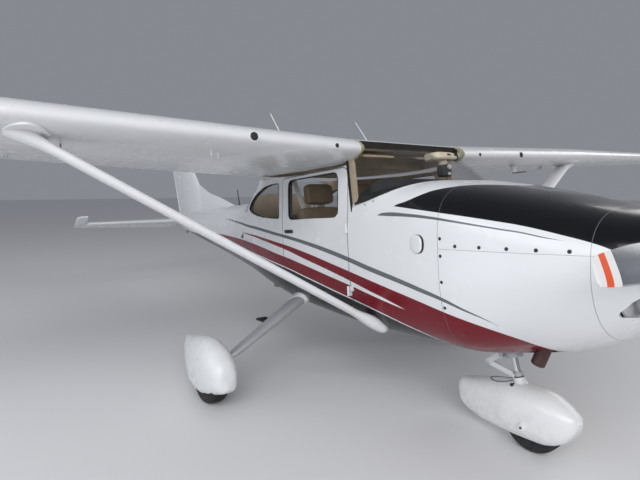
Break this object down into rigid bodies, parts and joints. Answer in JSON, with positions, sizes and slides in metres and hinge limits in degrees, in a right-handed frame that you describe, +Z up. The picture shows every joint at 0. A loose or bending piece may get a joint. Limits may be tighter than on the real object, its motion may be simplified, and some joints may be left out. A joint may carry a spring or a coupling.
{
  "type": "single-engine light aircraft",
  "caption": "High-wing, strut-braced light aircraft with a nose propeller, opening cabin doors, hinged control surfaces and fixed tricycle gear under wheel fairings.",
  "frame": {"origin": "on the floor, midway along and across the aircraft's bounding box", "axes": "+X forward to the propeller, +Y to port along the wings, +Z up from the floor it parks on"},
  "size_m": [8.6196, 10.92, 2.3399],
  "materials": {
    "white_paint": "gloss",
    "white_resin": "gloss",
    "clear_panes": "gloss",
    "tan_leather": "matte",
    "dark_panel": "matte",
    "cabin_carpet": "matte",
    "bare_aluminium": "polished",
    "plain_steel": "satin",
    "engine_iron": "matte",
    "tyre_rubber": "matte"
  },
  "bodies": {
    "root": {"cabin_shell": "white_paint", "roof": "white_paint", "windshield": "clear_panes", "rear_window": "clear_panes", "tailcone": "white_paint", "firewall": "plain_steel", "cowl_upper": "white_paint", "cowl_lower": "white_paint", "nose_bowl": "white_resin", "engine_block": "engine_iron", "exhaust_pipe": "plain_steel", "cabin_floor": "cabin_carpet", "baggage_bulkhead": "cabin_carpet", "instrument_panel": "dark_panel", "rear_bench": "tan_leather", "nose_cylinder": "plain_steel", "fin": "white_paint", "wing_left": "white_paint", "wing_strut_left": "white_paint", "stabiliser_left": "white_paint", "main_leg_left": "white_paint", "main_fairing_left": "white_resin", "side_window_left": "clear_panes", "front_seat_left": "tan_leather", "wing_right": "white_paint", "wing_strut_right": "white_paint", "stabiliser_right": "white_paint", "main_leg_right": "white_paint", "main_fairing_right": "white_resin", "side_window_right": "clear_panes", "front_seat_right": "tan_leather"},
    "propeller": {"propeller": "bare_aluminium", "spinner": "white_paint"},
    "nose_steering": {"nose_fork": "plain_steel", "nose_fairing": "white_resin"},
    "nose_wheel": {"nose_tyre": "tyre_rubber", "nose_rim": "bare_aluminium"},
    "rudder": {"rudder": "white_paint"},
    "elevator": {"elevator_torque_tube": "plain_steel", "elevator_left": "white_paint", "elevator_right": "white_paint"},
    "baggage_door": {"baggage_door": "white_paint"},
    "main_wheel_left": {"main_tyre_left": "tyre_rubber", "main_rim_left": "bare_aluminium"},
    "door_left": {"door_left": "white_paint", "door_window_left": "clear_panes"},
    "aileron_left": {"aileron_left": "white_paint"},
    "flap_left": {"flap_left": "white_paint"},
    "main_wheel_right": {"main_tyre_right": "tyre_rubber", "main_rim_right": "bare_aluminium"},
    "door_right": {"door_right": "white_paint", "door_window_right": "clear_panes"},
    "aileron_right": {"aileron_right": "white_paint"},
    "flap_right": {"flap_right": "white_paint"}
  },
  "joints": [
    {"name": "propeller_spin", "type": "hinge", "parent": "root", "child": "propeller", "pos_m": [3.98488, 0, 1.32837], "axis": [0.9968, 0, 0.0802], "continuous": true},
    {"name": "nose_wheel_steering", "type": "hinge", "parent": "root", "child": "nose_steering", "pos_m": [3.12984, 0, 0.3968], "axis": [-0.2925, 0, 0.9563], "range_deg": [-29, 29]},
    {"name": "nose_wheel_spin", "type": "hinge", "parent": "nose_steering", "child": "nose_wheel", "pos_m": [3.23327, 0, 0.17877], "axis": [0, 1, 0], "continuous": true},
    {"name": "main_wheel_left_spin", "type": "hinge", "parent": "root", "child": "main_wheel_left", "pos_m": [1.51627, 1.386, 0.21976], "axis": [0, 1, 0], "continuous": true},
    {"name": "main_wheel_right_spin", "type": "hinge", "parent": "root", "child": "main_wheel_right", "pos_m": [1.51627, -1.386, 0.21976], "axis": [0, 1, 0], "continuous": true},
    {"name": "rudder_hinge", "type": "hinge", "parent": "root", "child": "rudder", "pos_m": [-3.31502, 0, 0.85941], "axis": [-0.3973, 0, 0.9177], "range_deg": [-2, 46]},
    {"name": "elevator_hinge", "type": "hinge", "parent": "root", "child": "elevator", "pos_m": [-3.1446, 0, 1.01057], "axis": [0, 1, 0], "range_deg": [0, 43]},
    {"name": "aileron_left_hinge", "type": "hinge", "parent": "root", "child": "aileron_left", "pos_m": [0.96332, 2.552, 1.83839], "axis": [0.0864, 0.9951, 0.049], "range_deg": [-17.5, 17.5]},
    {"name": "aileron_right_hinge", "type": "hinge", "parent": "root", "child": "aileron_right", "pos_m": [0.96332, -2.552, 1.83839], "axis": [-0.0864, 0.9951, -0.049], "range_deg": [-17.5, 17.5]},
    {"name": "flap_left_hinge", "type": "hinge", "parent": "root", "child": "flap_left", "pos_m": [1.05033, 0.64, 1.56708], "axis": [-0.0042, 0.9989, 0.047], "range_deg": [-40, 0]},
    {"name": "flap_right_hinge", "type": "hinge", "parent": "root", "child": "flap_right", "pos_m": [1.05033, -0.64, 1.56708], "axis": [0.0042, 0.9989, -0.047], "range_deg": [-40, 0]},
    {"name": "door_left_hinge", "type": "hinge", "parent": "root", "child": "door_left", "pos_m": [2.11393, 0.58, 1.17784], "axis": [0.0802, 0, -0.9968], "range_deg": [0, 80]},
    {"name": "door_right_hinge", "type": "hinge", "parent": "root", "child": "door_right", "pos_m": [2.11393, -0.58, 1.17784], "axis": [-0.0802, 0, 0.9968], "range_deg": [0, 80]},
    {"name": "baggage_door_hinge", "type": "hinge", "parent": "root", "child": "baggage_door", "pos_m": [0.75033, 0.548, 1.06812], "axis": [0.0802, 0, -0.9968], "range_deg": [0, 90]}
  ],
  "couplings": [
    {"joint": "aileron_right_hinge", "follows": "aileron_left_hinge", "ratio": -1},
    {"joint": "flap_right_hinge", "follows": "flap_left_hinge", "ratio": 1}
  ]
}
